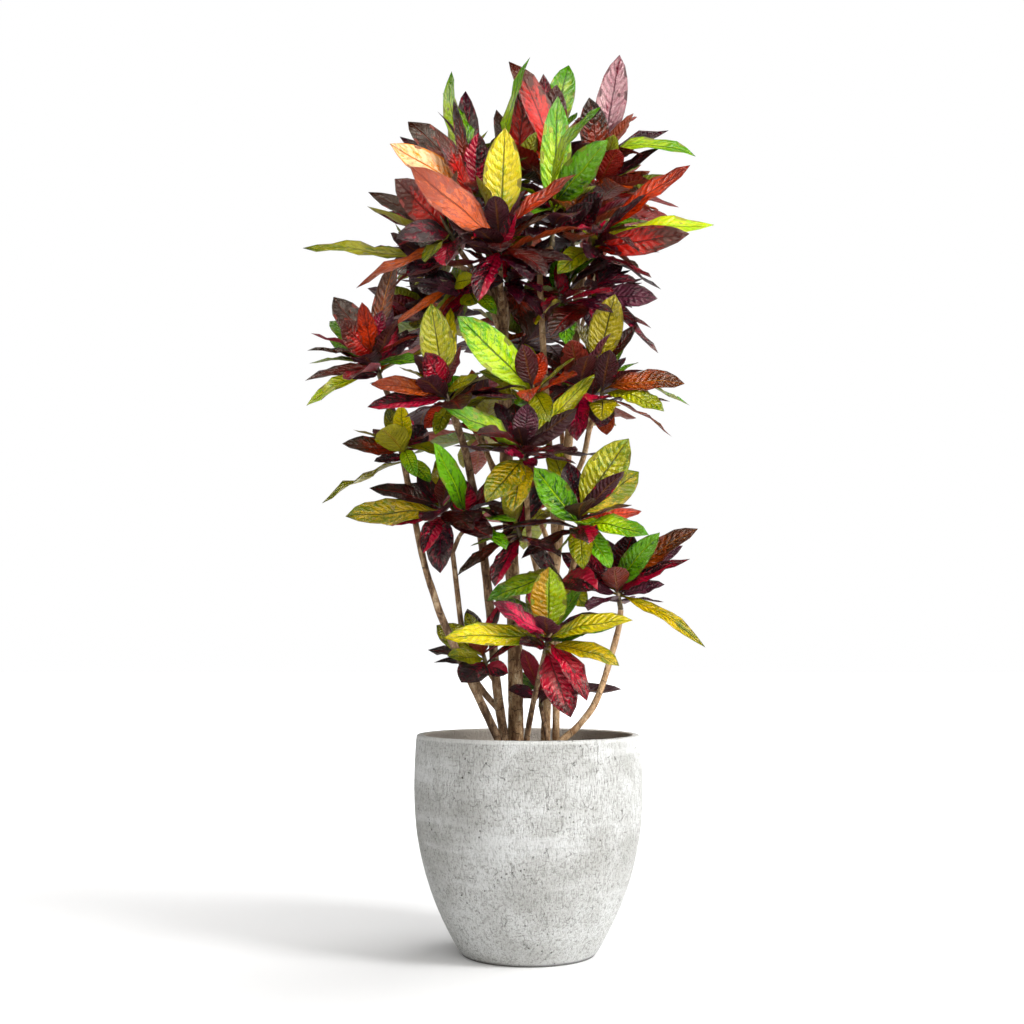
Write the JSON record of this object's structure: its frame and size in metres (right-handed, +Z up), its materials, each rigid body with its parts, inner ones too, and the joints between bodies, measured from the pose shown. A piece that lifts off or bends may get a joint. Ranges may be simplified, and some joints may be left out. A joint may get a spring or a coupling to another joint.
{
  "type": "potted croton",
  "caption": "Branching croton shrub with clusters of broad pointed glossy leaves on bare woody canes, standing in a round tapered stone-textured planter filled with soil.",
  "frame": {"origin": "centre of the pot's base, on the floor", "axes": "+Z up along the pot's axis; the front of the plant, as pictured, looks along -Y; +X is to the right as seen from the front"},
  "size_m": [0.74, 0.5634, 1.655],
  "materials": {
    "pot": "rough matt fibre clay, off-white",
    "soil": "loose dark potting soil",
    "bark_dark": "grey-brown bark",
    "bark_light": "light tan bark",
    "leaf_red": "glossy leathery leaf, veined and mottled",
    "leaf_olive": "glossy leathery leaf, veined and mottled",
    "leaf_peach": "glossy leathery leaf, veined and mottled",
    "leaf_orange": "glossy leathery leaf, veined and mottled",
    "leaf_plum": "glossy leathery leaf, veined and mottled",
    "leaf_brown": "glossy leathery leaf, veined and mottled",
    "leaf_green": "glossy leathery leaf, veined and mottled",
    "leaf_rust": "glossy leathery leaf, veined and mottled",
    "leaf_mauve": "glossy leathery leaf, veined and mottled",
    "leaf_coral": "glossy leathery leaf, veined and mottled",
    "leaf_crimson": "glossy leathery leaf, veined and mottled",
    "leaf_stripe": "glossy leathery leaf, veined and mottled",
    "leaf_goldgreen": "glossy leathery leaf, veined and mottled",
    "leaf_lime": "glossy leathery leaf, veined and mottled",
    "leaf_gold": "glossy leathery leaf, veined and mottled"
  },
  "bodies": {
    "root": {"pot": "pot", "soil": "soil", "cane_left": "bark_dark", "cane_twin": "bark_dark", "trunk": "bark_dark", "cane_low": "bark_dark", "cane_stub": "bark_dark", "cane_second": "bark_light", "cane_mid": "bark_light", "cane_right": "bark_light", "crown_far_left": "leaf_red", "crown_reach": "leaf_olive", "crown_upper_left": "leaf_peach", "crown_front": "leaf_orange", "crown_back_left": "leaf_plum", "crown_centre": "leaf_red", "crown_top": "leaf_brown", "crown_mid": "leaf_green", "crown_core": "leaf_rust", "crown_right": "leaf_mauve", "crown_back_right": "leaf_plum", "crown_far_right": "leaf_coral", "under_left": "leaf_mauve", "trunk_head": "leaf_crimson", "under_mid": "leaf_green", "under_right": "leaf_mauve", "striped": "leaf_stripe", "left_high": "leaf_brown", "left_inner": "leaf_olive", "left_side": "leaf_brown", "left_mid": "leaf_goldgreen", "left_twig": "leaf_crimson", "centre": "leaf_lime", "centre_small": "leaf_green", "bright": "leaf_lime", "right_high": "leaf_rust", "right_inner": "leaf_plum", "right_mid": "leaf_olive", "right_low": "leaf_rust", "low_front": "leaf_gold", "low_left": "leaf_olive", "low_back": "leaf_plum", "mid_twig": "leaf_lime", "back_left": "leaf_plum", "back_middle": "leaf_plum", "back_right": "leaf_plum", "back_low_left": "leaf_plum", "back_low": "leaf_plum"}
  },
  "joints": []
}
